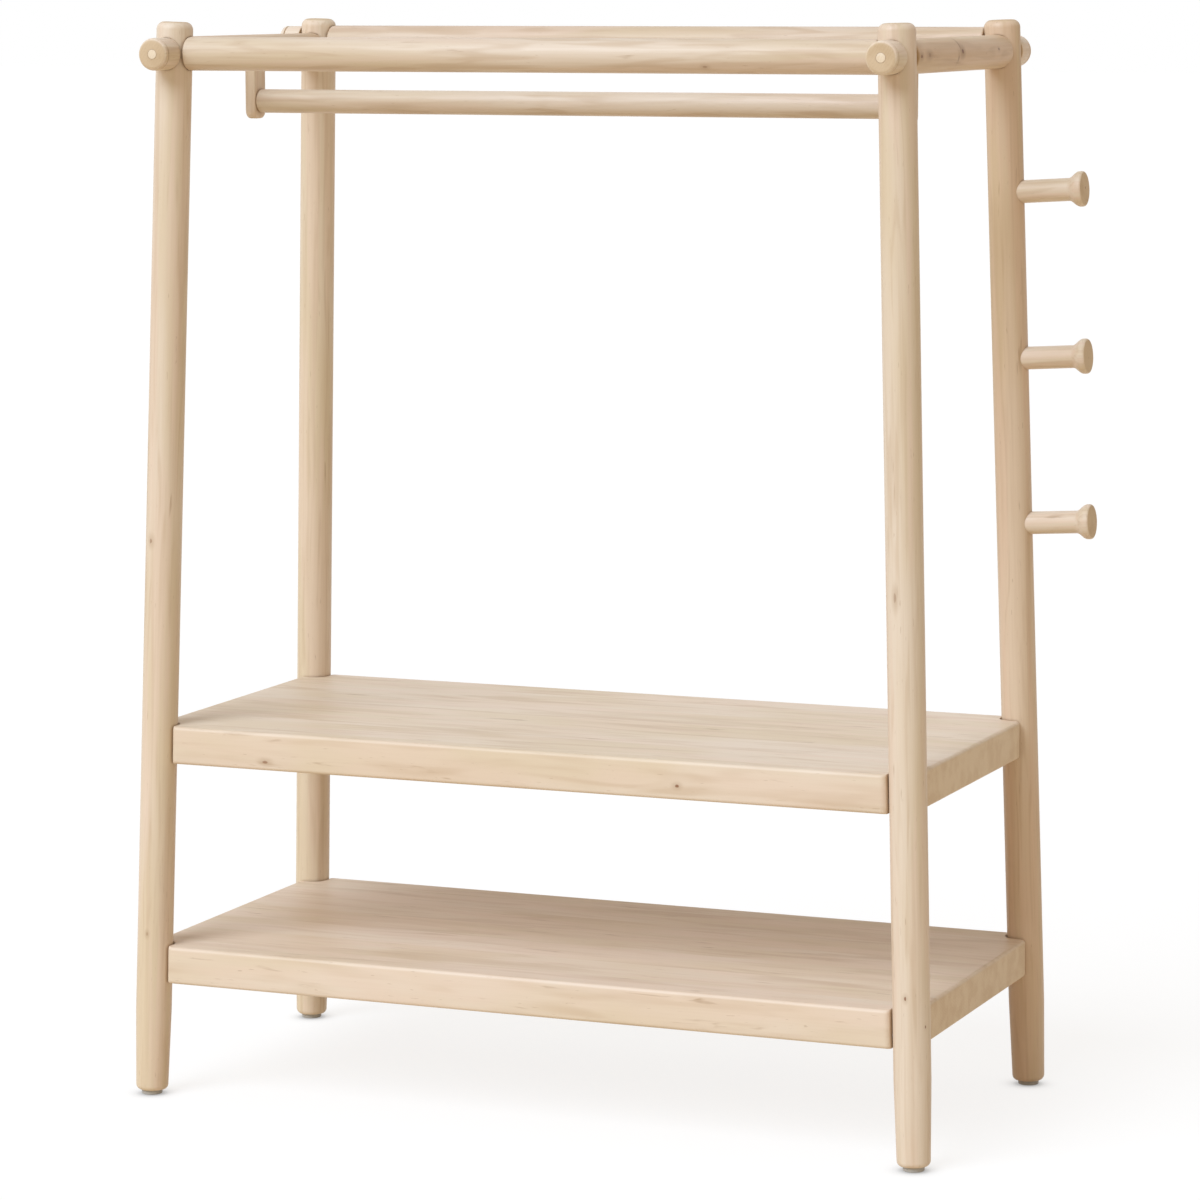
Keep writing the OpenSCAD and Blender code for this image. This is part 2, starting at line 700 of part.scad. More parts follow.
color(beech_shade) peg(1);  // middle_peg
color(beech_shade) peg(0);  // lower_peg
color(nylon) glide(left, front);  // front_left_glide
color(nylon) glide(right, front);  // front_right_glide
color(nylon) glide(left, rear);  // rear_left_glide
color(nylon) glide(right, rear);  // rear_right_glide
color(steel) glide_inserts();
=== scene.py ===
import math

import bpy
import numpy as np
from mathutils import Matrix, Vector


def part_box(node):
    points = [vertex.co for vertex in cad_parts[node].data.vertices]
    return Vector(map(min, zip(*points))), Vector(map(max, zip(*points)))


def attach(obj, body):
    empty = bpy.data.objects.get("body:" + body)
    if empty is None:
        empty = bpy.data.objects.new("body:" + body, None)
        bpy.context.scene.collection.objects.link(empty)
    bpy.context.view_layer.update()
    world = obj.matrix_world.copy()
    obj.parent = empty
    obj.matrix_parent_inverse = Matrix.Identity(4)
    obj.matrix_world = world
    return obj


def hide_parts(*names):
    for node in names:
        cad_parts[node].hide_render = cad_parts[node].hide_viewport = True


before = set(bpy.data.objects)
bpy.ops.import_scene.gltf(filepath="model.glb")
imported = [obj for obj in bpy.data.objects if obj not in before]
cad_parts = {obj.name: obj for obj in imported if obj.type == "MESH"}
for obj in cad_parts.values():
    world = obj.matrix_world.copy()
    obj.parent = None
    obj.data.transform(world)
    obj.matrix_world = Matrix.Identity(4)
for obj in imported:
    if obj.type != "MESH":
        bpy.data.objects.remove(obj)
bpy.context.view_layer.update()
print("frame loaded:", len(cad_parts), "nodes")

# Lengths are in millimetres until a mesh is made, and the axes are the frame's own:
# +X to the right, +Y to the back, +Z up, the floor at 0.
railLow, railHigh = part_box("front_rail")
rack = {
    "midX": 500 * (railLow.x + railHigh.x),   # the rack's middle plane, between the posts
    "spanX": 860, "spanY": 390,               # between the post axes on the floor
    "leanX": 0.030, "leanY": 0.021,           # how much the posts lean in, per unit of height
    "topZ": 1140, "seat": 17.5,               # post tops, flat seats from the post axis
    "railZ": 1107, "rearRailZ": 1115, "hangZ": 1055, "hangY": -45,
    "upperShelfZ": 400, "lowerShelfZ": 163, "shelfT": 40,
    "footZ": 5.3, "gap": 0.1,                 # the feet above the floor, the play in the joints
    "cutPast": 40,                            # how far a cutter reaches past the wood
}
left, right, front, rear = -1, 1, -1, 1


# shapes

def postX(side, z):
    return rack["midX"] + side * (rack["spanX"] / 2 - rack["leanX"] * z)


def postY(side, z):
    return side * (rack["spanY"] / 2 - rack["leanY"] * z)


def placed(origin, along, across=(0, 0, 1)):
    # a 4x4 frame at origin: its z runs along one direction, its x as near as it can to the other
    z = np.array(along, float)
    z /= np.linalg.norm(z)
    x = np.array(across, float)
    x -= z * (x @ z)
    x /= np.linalg.norm(x)
    m = np.eye(4)
    m[:3, 0], m[:3, 1], m[:3, 2], m[:3, 3] = x, np.cross(z, x), z, origin
    return m


def arc(centre, radius, start, end, steps=6):
    # points centre + radius * (cos, sin) for angles evenly spaced from start to end, in degrees
    turn = np.radians(np.linspace(start, end, steps + 1))
    return np.array(centre, float) + radius * np.stack([np.cos(turn), np.sin(turn)], 1)


def turned(profile, m, steps=96):
    # surface of revolution: a point (r, h) of the profile becomes the ring (r cos t, r sin t, h).
    # Radius 0 at both ends closes it at two poles; otherwise the profile is a loop round a bore.
    profile = np.array(profile, float)
    bored = profile[0, 0] > 0
    rows = profile if bored else profile[1:-1]
    turn = np.linspace(0, 2 * np.pi, steps, endpoint=False)
    ring = np.stack([np.cos(turn), np.sin(turn)], 1)
    points = np.empty((len(rows), steps, 3))
    points[:, :, :2] = rows[:, None, :1] * ring[None]
    points[:, :, 2] = rows[:, None, 1]
    points = points.reshape(-1, 3)
    j = np.arange(steps)
    k = np.arange(len(rows) if bored else len(rows) - 1)[:, None]
    above = (k + 1) % len(rows)
    onward = (j + 1) % steps
    quads = np.stack([k * steps + j, k * steps + onward, above * steps + onward, above * steps + j], 2)
    faces = quads.reshape(-1, 4).tolist()
    if not bored:
        bottom, top = len(points), len(points) + 1
        points = np.vstack([points, [0, 0, profile[0, 1]], [0, 0, profile[-1, 1]]])
        last = (len(rows) - 1) * steps
        faces += np.stack([np.full(steps, bottom), onward, j], 1).tolist()
        faces += np.stack([np.full(steps, top), last + j, last + onward], 1).tolist()
    return moved(points, m), faces


def stacked(rings, m):
    # rings of equal length joined one to the next, with a flat cap on the first and the last
    count, size = rings.shape[:2]
    j = np.arange(size)
    k = np.arange(count - 1)[:, None]
    onward = (j + 1) % size
    quads = np.stack([k * size + j, k * size + onward, (k + 1) * size + onward, (k + 1) * size + j], 2)
    faces = quads.reshape(-1, 4).tolist() + [j[::-1].tolist(), ((count - 1) * size + j).tolist()]
    return moved(rings.reshape(-1, 3), m), faces


def moved(points, m):
    return points @ m[:3, :3].T + m[:3, 3]


def together(shapes):
    # several closed shapes as one list of points and faces
    points, faces, start = [], [], 0
    for p, f in shapes:
        points.append(p)
        faces += [[i + start for i in face] for face in f]
        start += len(p)
    return np.vstack(points), faces


def rod(radius, start, end, m, ease=0.0, steps=96):
    # a straight rod from start to end along z, with its two edges rounded to the radius ease
    if ease <= 0:
        return turned([[0, start], [radius, start], [radius, end], [0, end]], m, steps)
    profile = np.vstack([
        [[0, start]],
        arc([radius - ease, start + ease], ease, -90, 0),
        arc([radius - ease, end - ease], ease, 0, 90),
        [[0, end]],
    ])
    return turned(profile, m, steps)


def plainMesh(name, shape):
    mesh = bpy.data.meshes.new(name)
    mesh.from_pydata((shape[0] / 1000).tolist(), [], shape[1])
    mesh.validate()
    return mesh


def linkedObject(name, data):
    obj = bpy.data.objects.new(name, data)
    bpy.context.scene.collection.objects.link(obj)
    return obj


def carved(name, blank, cuts=(), added=()):
    # joins the added solids to the blank, then takes the cuts out of it, as exact solids
    base = linkedObject(name + "Blank", plainMesh(name + "Blank", blank))
    tools = []
    for kind, shapes in (("UNION", added), ("DIFFERENCE", cuts)):
        for shape in shapes:
            tools.append(linkedObject(name + "Tool", plainMesh(name + "Tool", shape)))
            step = base.modifiers.new("cut", "BOOLEAN")
            step.solver = "EXACT"
            step.operation = kind
            step.object = tools[-1]
    bpy.context.view_layer.update()
    mesh = bpy.data.meshes.new_from_object(base.evaluated_get(bpy.context.evaluated_depsgraph_get()))
    mesh.name = name
    for obj in [base] + tools:
        spare = obj.data
        bpy.data.objects.remove(obj)
        bpy.data.meshes.remove(spare)
    return mesh


def finished(name, mesh, grain, material, nodes, body="rack", seed=0, sharp=32, tone=(1, 1, 1)):
    # stores each point's place in the piece's own frame (z along the grain) for the wood to read,
    # and rounds the shading wherever two faces meet at less than the angle sharp
    points = np.zeros(len(mesh.vertices) * 3)
    mesh.vertices.foreach_get("co", points)
    points = points.reshape(-1, 3)
    inner = np.linalg.inv(grain)
    local = (points * 1000) @ inner[:3, :3].T + inner[:3, 3]
    local = local / 1000 + seedStep * seed
    for key, rows in (("grainPlace", local), ("grainAxis", np.tile(grain[:3, 2], (len(points), 1))),
                      ("pieceTone", np.tile(tone, (len(points), 1)))):
        stored = mesh.attributes.new(key, "FLOAT_VECTOR", "POINT")
        stored.data.foreach_set("vector", rows.astype(np.float32).ravel())
    mesh.shade_smooth()
    mesh.set_sharp_from_angle(angle=math.radians(sharp))
    mesh.materials.clear()
    mesh.materials.append(material)
    obj = linkedObject(name, mesh)
    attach(obj, body)
    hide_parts(*nodes)


# materials

def linear(hexValue):
    # an sRGB hex value as linear red, green, blue and 1
    channels = [int(hexValue[i:i + 2], 16) / 255 for i in (1, 3, 5)]
    return [c / 12.92 if c <= 0.04045 else ((c + 0.055) / 1.055) ** 2.4 for c in channels] + [1.0]


def addNode(tree, kind, inputs=None, out=0, **settings):
    # one node with its own settings. Inputs maps a socket's name or number to a value or a link,
    # and out says which output comes back; with out=None the node itself does
    node = tree.nodes.new(kind)
    for key, value in settings.items():
        setattr(node, key, value)
    for key, value in (inputs or {}).items():
        if isinstance(value, bpy.types.NodeSocket):
            tree.links.new(value, node.inputs[key])
        else:
            node.inputs[key].default_value = value
    return node.outputs[out] if out is not None and len(node.outputs) else node


def newMaterial(name):
    material = bpy.data.materials.new(name)
    material.use_nodes = True
    material.node_tree.nodes.clear()
    return material, material.node_tree


# Bleached beech, sanded and given a thin matt varnish: pale and soft to the eye, with broad bands
# that drift between pinkish cream and straw, faint fibres along the grain, and here and there a
# short brown streak or ray fleck. Widths across and lengths along the grain are in millimetres.
beech = {
    "pale": "#e6d6c2", "straw": "#dcc9ab", "pink": "#e5cfba", "deep": "#c9af90", "streakAndShadeBrown": "#a3825c",
    # edge is the pale cream of the painted highlight on rounded upper edges
    "knot": "#7a4318", "endPale": "#d6c0a2", "endDeep": "#bfa27d", "edge": "#f4eadb",
    "tone": {"mm": (50, 420), "from": 0.38, "to": 0.62, "share": 0.9, "detail": 2, "twist": 0},
    "band": {"mm": (16, 300), "from": 0.42, "to": 0.62, "share": 0.75, "detail": 2, "twist": 0.3},
    "figure": {"mm": (9, 130), "from": 0.54, "to": 0.72, "share": 0.34, "detail": 1, "twist": 1.1},
    "layer": {"mm": (8, 260), "from": 0.48, "to": 0.74, "share": 0.36, "detail": 2, "twist": 0.4},
    "fibre": {"mm": (1.8, 80), "from": 0.4, "to": 0.7, "share": 0.1, "detail": 2, "twist": 0},
    "dash": {"mm": (6, 62), "from": 0.67, "to": 0.8, "share": 0.55, "detail": 3, "twist": 0.5},
    "fleck": {"mm": (1.5, 13), "from": 0.72, "to": 0.8, "share": 0.35, "detail": 1, "twist": 0},
    "roughness": (0.42, 0.54), "endRoughness": 0.62, "bumpMm": 0.04, "paintedEdgeHighlight": 0.0,
    "ringsMm": 1.5, "poresMm": 1.1, "cloudMm": 20, "shine": 0.5, "paintedShadeMm": 4, "paintedShadeShare": 0.45,
}
seedStep = np.array([1.7, 2.9, 5.3])


def knotAt(seed, x, y, z, size, **more):
    # a pin knot on the piece with that seed, at a place in its own frame in millimetres
    return {"at": tuple(np.array([x, y, z]) / 1000 + seedStep * seed), "mm": size, **more}


def beechWood(name, look, knots=(), staves=None):
    material, tree = newMaterial(name)
    place = addNode(tree, "ShaderNodeAttribute", out="Vector", attribute_name="grainPlace")
    axis = addNode(tree, "ShaderNodeAttribute", out="Vector", attribute_name="grainAxis")
    pieceTone = addNode(tree, "ShaderNodeAttribute", out="Vector", attribute_name="pieceTone")
    facing = addNode(tree, "ShaderNodeNewGeometry", out="Normal")
    own = place

    if staves:
        # edge-glued staves as long as the board: each has its own grain and its own tone
        parts = addNode(tree, "ShaderNodeSeparateXYZ", {"Vector": place}, None)
        column = addNode(tree, "ShaderNodeMath", {0: parts.outputs[0], 1: 1000 / staves["widthMm"], 2: 0.5},
                         operation="MULTIPLY_ADD")
        column = addNode(tree, "ShaderNodeMath", {0: column}, operation="FLOOR")
        stave = addNode(tree, "ShaderNodeTexWhiteNoise", {"W": column}, None, noise_dimensions="1D")
        own = addNode(tree, "ShaderNodeVectorMath", {0: stave.outputs["Color"], 1: (3, 3, 3), 2: place},
                      operation="MULTIPLY_ADD")

    # each layer of the look is a noise in cells of a real width and length, cut to a soft mask.
    # Fibres are really 0.1 mm wide; they are drawn 1.8 mm wide so that they show at all.
    masks, noises = {}, {}
    for number, layer in enumerate(("tone", "band", "figure", "layer", "fibre", "dash", "fleck")):
        cells = look[layer]
        across, along = cells["mm"]
        stretched = addNode(tree, "ShaderNodeMapping", {
            "Vector": own, "Location": (31 * number, 17 * number, 47 * number),
            "Scale": (1000 / across, 1000 / across, 1000 / along)})
        noises[layer] = addNode(tree, "ShaderNodeTexNoise", {
            "Vector": stretched, "Scale": 1.0, "Detail": cells["detail"],
            "Distortion": cells["twist"]}, "Fac")
        masks[layer] = addNode(tree, "ShaderNodeMapRange", {
            "Value": noises[layer], "From Min": cells["from"], "From Max": cells["to"],
            "To Max": cells["share"]}, interpolation_type="SMOOTHSTEP")
    if staves:
        masks["tone"] = addNode(tree, "ShaderNodeMix", {
            0: staves["share"], 2: masks["tone"], 3: stave.outputs["Value"]}, data_type="FLOAT")
    # the short streaks break up along the fibres
    broken = addNode(tree, "ShaderNodeMapRange", {
        "Value": noises["fibre"], "From Min": 0.3, "From Max": 0.6, "To Min": 0.45, "To Max": 1.0},
        interpolation_type="SMOOTHSTEP")
    masks["dash"] = addNode(tree, "ShaderNodeMath", {0: masks["dash"], 1: broken}, operation="MULTIPLY")

    tints = [(masks[layer], tint) for layer, tint in (
        ("band", "pink"), ("figure", "deep"), ("layer", "deep"), ("fibre", "deep"),
        ("dash", "streakAndShadeBrown"), ("fleck", "streakAndShadeBrown"))]
    for spot in knots:
        # a pin knot: a brown eye, drawn out along the grain, with a paler brown halo
        size = spot["mm"] / 1000
        narrow, stretch = spot.get("narrow", 1), spot.get("stretch", 0.6)
        offset = addNode(tree, "ShaderNodeVectorMath", {0: place, 1: spot["at"]}, operation="SUBTRACT")
        offset = addNode(tree, "ShaderNodeVectorMath", {0: offset, 1: (narrow, narrow, stretch)},
                         operation="MULTIPLY")
        distance = addNode(tree, "ShaderNodeVectorMath", {0: offset}, "Value", operation="LENGTH")
        uneven = addNode(tree, "ShaderNodeMath", {0: noises["fibre"], 1: size * 0.9, 2: distance},
                         operation="MULTIPLY_ADD")
        for tint, outer, inner, share in (("streakAndShadeBrown", 3.4, 0.9, spot.get("halo", 0.3)),
                                          ("knot", 1.25, 0.9, spot.get("eye", 0.8))):
            mask = addNode(tree, "ShaderNodeMapRange", {
                "Value": uneven, "From Min": size * inner, "From Max": size * outer, "To Min": share,
                "To Max": 0.0}, interpolation_type="SMOOTHSTEP")
            tints.append((mask, tint))
    colour = linear(look["pale"])
    for mask, tint in [(masks["tone"], "straw")] + tints:
        colour = addNode(tree, "ShaderNodeMix", {0: mask, 6: colour, 7: linear(look[tint])}, 2,
                         data_type="RGBA")

    # end grain, on faces across the grain: fine rings round a pith that lies off centre, and pores
    across = addNode(tree, "ShaderNodeVectorMath", {0: facing, 1: axis}, "Value", operation="DOT_PRODUCT")
    across = addNode(tree, "ShaderNodeMath", {0: across}, operation="ABSOLUTE")
    endMask = addNode(tree, "ShaderNodeMapRange", {"Value": across, "From Min": 0.75, "From Max": 0.96},
                      interpolation_type="SMOOTHSTEP")
    flat = addNode(tree, "ShaderNodeMapping", {
        "Vector": own, "Scale": (1, 1, 0.02), "Location": (0.011, 0.007, 0)})
    rings = addNode(tree, "ShaderNodeTexWave", {
        "Vector": flat, "Scale": 1000 / look["ringsMm"] / 2 / math.pi, "Distortion": 4.0, "Detail": 2.0,
        "Detail Scale": 1.5}, "Fac", wave_type="RINGS", rings_direction="Z", wave_profile="SIN")
    pores = addNode(tree, "ShaderNodeTexNoise", {
        "Vector": own, "Scale": 1000 / look["poresMm"], "Detail": 1.0})
    cloud = addNode(tree, "ShaderNodeTexNoise", {
        "Vector": own, "Scale": 1000 / look["cloudMm"], "Detail": 2.0})
    endTone = addNode(tree, "ShaderNodeMath", {0: rings, 1: 0.12}, operation="MULTIPLY")
    for fac, low, high, share in ((pores, 0.55, 0.75, 0.3), (cloud, 0.38, 0.68, 0.45)):
        part = addNode(tree, "ShaderNodeMapRange", {
            "Value": fac, "From Min": low, "From Max": high, "To Max": share},
            interpolation_type="SMOOTHSTEP")
        endTone = addNode(tree, "ShaderNodeMath", {0: endTone, 1: part}, operation="ADD")
    endColour = addNode(tree, "ShaderNodeMix", {
        0: endTone, 6: linear(look["endPale"]), 7: linear(look["endDeep"])}, 2, data_type="RGBA")
    for spot in knots:
        if spot.get("pith"):
            # the pith dot of a turned end
            offset = addNode(tree, "ShaderNodeVectorMath", {0: place, 1: spot["at"]}, "Value",
                             operation="DISTANCE")
            dot = addNode(tree, "ShaderNodeMapRange", {
                "Value": offset, "From Min": spot["mm"] / 2000, "From Max": spot["mm"] / 800,
                "To Min": spot["pith"], "To Max": 0.0}, interpolation_type="SMOOTHSTEP")
            endColour = addNode(tree, "ShaderNodeMix", {0: dot, 6: endColour, 7: linear(look["knot"])}, 2,
                                data_type="RGBA")
    colour = addNode(tree, "ShaderNodeMix", {0: endMask, 6: colour, 7: endColour}, 2, data_type="RGBA")

    if look["paintedEdgeHighlight"]:
        # painted highlight: the rounded upper edges, which face up and sideways at once, are mixed towards
        # a pale cream
        up = addNode(tree, "ShaderNodeSeparateXYZ", {"Vector": facing}, "Z")
        level = addNode(tree, "ShaderNodeMath", {0: up, 1: up}, operation="MULTIPLY")
        level = addNode(tree, "ShaderNodeMath", {0: 1.0, 1: level}, operation="SUBTRACT")
        turned45 = addNode(tree, "ShaderNodeMath", {0: level, 1: up}, operation="MULTIPLY")
        paintedHighlightMask = addNode(tree, "ShaderNodeMapRange", {
            "Value": turned45, "From Min": 0.12, "From Max": 0.36, "To Max": look["paintedEdgeHighlight"]},
            interpolation_type="SMOOTHSTEP")
        colour = addNode(tree, "ShaderNodeMix", {0: paintedHighlightMask, 6: colour, 7: linear(look["edge"])}, 2,
                         data_type="RGBA")
    # painted shade: the colour is drawn towards brown in the joint lines and hollows, wherever another
    # surface stands a few millimetres off (ambient occlusion)
    nearness = addNode(tree, "ShaderNodeAmbientOcclusion", {"Distance": look["paintedShadeMm"] / 1000}, "AO")
    paintedJointShade = addNode(tree, "ShaderNodeMapRange", {
        "Value": nearness, "From Min": 0.4, "From Max": 0.9, "To Min": look["paintedShadeShare"], "To Max": 0.0})
    colour = addNode(tree, "ShaderNodeMix", {0: paintedJointShade, 6: colour, 7: linear(look["streakAndShadeBrown"])}, 2,
                     data_type="RGBA")
    # every piece of wood has its own tone
    colour = addNode(tree, "ShaderNodeVectorMath", {0: colour, 1: pieceTone}, operation="MULTIPLY")

    # the varnish is a little duller where the fibres stand up, and dullest on end grain
    rough = addNode(tree, "ShaderNodeMapRange", {
        "Value": noises["fibre"], "From Min": 0.3, "From Max": 0.7, "To Min": look["roughness"][0],
        "To Max": look["roughness"][1]})
    rough = addNode(tree, "ShaderNodeMix", {0: endMask, 2: rough, 3: look["endRoughness"]},
                    data_type="FLOAT")
    relief = addNode(tree, "ShaderNodeMath", {0: noises["fibre"], 1: noises["layer"]}, operation="ADD")
    relief = addNode(tree, "ShaderNodeMath", {0: relief, 1: masks["fleck"]}, operation="SUBTRACT")
    bump = addNode(tree, "ShaderNodeBump", {
        "Strength": 0.5, "Distance": look["bumpMm"] / 1000, "Height": relief})
    shader = addNode(tree, "ShaderNodeBsdfPrincipled", {
        "Base Color": colour, "Roughness": rough, "IOR": 1.5, "Normal": bump,
        "Specular IOR Level": look["shine"]})
    addNode(tree, "ShaderNodeOutputMaterial", {"Surface": shader})
    return material


def mottledMetal(name, look):
    # drawn or cast metal: two greys that mix by one noise, which also dulls and roughens it
    material, tree = newMaterial(name)
    place = addNode(tree, "ShaderNodeTexCoord", out="Object")
    mottle = addNode(tree, "ShaderNodeTexNoise", {
        "Vector": place, "Scale": 1000 / look["mottleMm"], "Detail": 3.0})
    mask = addNode(tree, "ShaderNodeMapRange", {"Value": mottle, "From Min": 0.35, "From Max": 0.7},
                   interpolation_type="SMOOTHSTEP")
    colour = addNode(tree, "ShaderNodeMix", {0: mask, 6: linear(look["pale"]), 7: linear(look["dark"])}, 2,
                     data_type="RGBA")
    rough = addNode(tree, "ShaderNodeMapRange", {
        "Value": mottle, "From Min": 0.3, "From Max": 0.7, "To Min": look["roughness"][0],
        "To Max": look["roughness"][1]})
    bump = addNode(tree, "ShaderNodeBump", {
        "Strength": 0.3, "Distance": look["bumpMm"] / 1000, "Height": mottle})
    shader = addNode(tree, "ShaderNodeBsdfPrincipled", {
        "Base Color": colour, "Metallic": 1.0, "Roughness": rough, "Normal": bump})
    addNode(tree, "ShaderNodeOutputMaterial", {"Surface": shader})
    return material


def mouldedNylon(name, look):
    # moulded nylon: an even grey with soft clouds, and a fine texture that dulls it
    material, tree = newMaterial(name)
    place = addNode(tree, "ShaderNodeTexCoord", out="Object")
    cloud = addNode(tree, "ShaderNodeTexNoise", {
        "Vector": place, "Scale": 1000 / look["cloudMm"], "Detail": 2.0})
    speckle = addNode(tree, "ShaderNodeTexNoise", {
        "Vector": place, "Scale": 1000 / look["speckleMm"], "Detail": 1.0})
    colour = addNode(tree, "ShaderNodeMix", {0: cloud, 6: linear(look["pale"]), 7: linear(look["dark"])}, 2,
                     data_type="RGBA")
    rough = addNode(tree, "ShaderNodeMapRange", {
        "Value": speckle, "From Min": 0.3, "From Max": 0.7, "To Min": look["roughness"][0],
        "To Max": look["roughness"][1]})
    bump = addNode(tree, "ShaderNodeBump", {
        "Strength": 0.4, "Distance": look["bumpMm"] / 1000, "Height": speckle})
    shader = addNode(tree, "ShaderNodeBsdfPrincipled", {
        "Base Color": colour, "Roughness": rough, "IOR": 1.53, "Normal": bump})
    addNode(tree, "ShaderNodeOutputMaterial", {"Surface": shader})
    return material


# where the pin knots lie, in each piece's own frame
postKnots = [
    knotAt(1, -15.1, -11.5, 597.4, 2.6, eye=0.5), knotAt(1, -11.1, -15.4, 176.6, 1.6, eye=0.3),
    knotAt(2, -10.8, 15.6, 177.7, 1.7), knotAt(2, -18.7, -3.3, 148.3, 1.5, halo=0.1),
    knotAt(2, -7.0, 17.7, 578.4, 2.2, eye=0.35, stretch=0.3), knotAt(3, -14.0, 13.0, 561.0, 2.6, eye=0.5),
]
railKnots = [
    knotAt(11, -10.4, 14.1, 201.2, 1.8, eye=0.4), knotAt(14, 3.7, 17.1, 104.4, 1.7, halo=0.25),
    knotAt(14, 3.0, 17.2, -16.4, 4, eye=1, stretch=0.9, halo=0.6),
    knotAt(14, 0.3, 17.5, -147.6, 2.6, eye=0.8, stretch=0.7, halo=0.5),
    knotAt(14, 1.3, 17.5, -122.6, 3.0, eye=0.35, stretch=0.5, halo=0.45),
    knotAt(14, -3.3, 17.2, -29.2, 2.4, eye=0.5, stretch=1.2, narrow=0.5),
    knotAt(14, 11.0, 13.6, -22.0, 2.6, eye=0.45, stretch=1.5, narrow=0.3, halo=0.3),
]
knobKnots = [
    knotAt(53, 1.0, -1.5, 86.0, 1.3, eye=0, halo=0, pith=0.7),
    knotAt(52, -2.0, 1.0, 86.0, 1.0, eye=0, halo=0, pith=0.3),
]
shelfKnots = [
    knotAt(61, -198.6, -30.6, -288.1, 2.4, eye=0.6, stretch=0.5),
    knotAt(61, -198.6, -25.5, 176.5, 2.2, eye=0.75, stretch=0.7),
]
# how the pieces' wood differs: swirled figure on the rails, finer grain on the small turned pieces,
# wide soft clouds and paler ends on the shelves
railLook = {"figure": {**beech["figure"], "mm": (12, 110), "from": 0.48, "to": 0.7, "share": 0.48}}
knobLook = {
    "endPale": "#d3bc9c", "endDeep": "#bca07a", "tone": {**beech["tone"], "mm": (26, 160)},
    "band": {**beech["band"], "mm": (7, 120)}, "layer": {**beech["layer"], "mm": (3.5, 80)},
}
plugLook = {"endPale": "#efe0c8", "endDeep": "#d9bf9c"}
shelfLook = {
    # the shelves get a painted highlight along their rounded upper edges
    "paintedEdgeHighlight": 0.12, "shine": 0.28, "endPale": "#e4d2b8", "endDeep": "#cfb596",
    "tone": {**beech["tone"], "mm": (90, 240)},
    "band": {**beech["band"], "mm": (34, 200), "share": 0.5},
    "figure": {**beech["figure"], "mm": (24, 190), "from": 0.5, "to": 0.76, "share": 0.5},
    "layer": {**beech["layer"], "mm": (17, 130), "share": 0.32},
    "fibre": {**beech["fibre"], "share": 0.06},
    "dash": {**beech["dash"], "mm": (8, 66), "from": 0.63, "to": 0.8, "share": 0.68},
}
steelLook = {"pale": "#b9babd", "dark": "#8f9094", "roughness": (0.28, 0.45), "mottleMm": 1.5,
             "bumpMm": 0.03}
zincLook = {"pale": "#c3c2bd", "dark": "#9c9b96", "roughness": (0.4, 0.6), "mottleMm": 2.5, "bumpMm": 0.03}
nylonLook = {"pale": "#bebcb7", "dark": "#a5a39f", "roughness": (0.42, 0.6), "cloudMm": 6, "speckleMm": 0.8,
             "bumpMm": 0.04}
postWood = beechWood("bleachedBeechTurnedPosts", beech, postKnots)
railWood = beechWood("bleachedBeechTurnedRails", {**beech, **railLook}, railKnots)
knobWood = beechWood("bleachedBeechTurnedKnobs", {**beech, **knobLook}, knobKnots)
plugWood = beechWood("beechEndGrainPlugs", {**beech, **plugLook})
shelfWood = beechWood("bleachedBeechGluedStaves", {**beech, **shelfLook}, shelfKnots,
                      staves={"widthMm": 66, "share": 0.3})
boltSteel = mottledMetal("turnedZincPlatedSteel", steelLook)
castZinc = mottledMetal("castZinc", zincLook)
glideNylon = mouldedNylon("mouldedGreyNylon", nylonLook)
print("materials made")


# posts: turned rods that lean in, with a tapered foot cut level

post = {
    "radius": 19, "footR": 17.2, "taper": 92, "footRound": 6, "topRound": 8, "footAllowance": 0.4,
    "rings": (130, 380, 420, 900, 1060), "footCutR": 60,
    "railSeatR": 17.8, "knobSeatR": 17.05, "boltR": 3.2, "tenonR": 9.1, "sideBore": 6.6, "longBore": 11.1,
    "insertR": 6.1, "insertDeep": 23.4, "studR": 4.5, "holeDeep": 30, "shelfBoltR": 3.6, "shelfBoltUp": 12,
    "tones": ((1, 1, 1), (0.97, 0.97, 0.97), (1.01, 1.02, 1.01), (0.91, 0.85, 0.78)),
}
leanAngle = math.atan(math.hypot(rack["leanX"], rack["leanY"]))
postLength = rack["topZ"] / math.cos(leanAngle)


def postFrame(sx, sy):
    lean = (-sx * rack["leanX"], -sy * rack["leanY"])
    return placed((postX(sx, 0), postY(sy, 0), 0), (*lean, 1), (*lean, 0.001))


def pegFrame(i):
    z = peg["lowest"] + i * peg["step"]
    tilt = math.radians(peg["tilt"])
    return placed((postX(right, z), postY(rear, z), z), (math.cos(tilt), 0, math.sin(tilt)))


peg = {
    "lowest": 610, "step": 175, "tilt": 3.5,
    "shaftR": 12, "headR": 18.5, "reach": 85.9, "headLength": 5, "flareLength": 12, "round": 2.4,
    "tenonR": 7, "tenonPast": 6, "tenonOut": 8, "tenonEase": 0.8, "corePast": 20,
}


def cutRod(radius, start, end, m, steps=64):
    # a cutter: a rod with sharp edges
    return rod(radius, start, end, m, steps=steps)


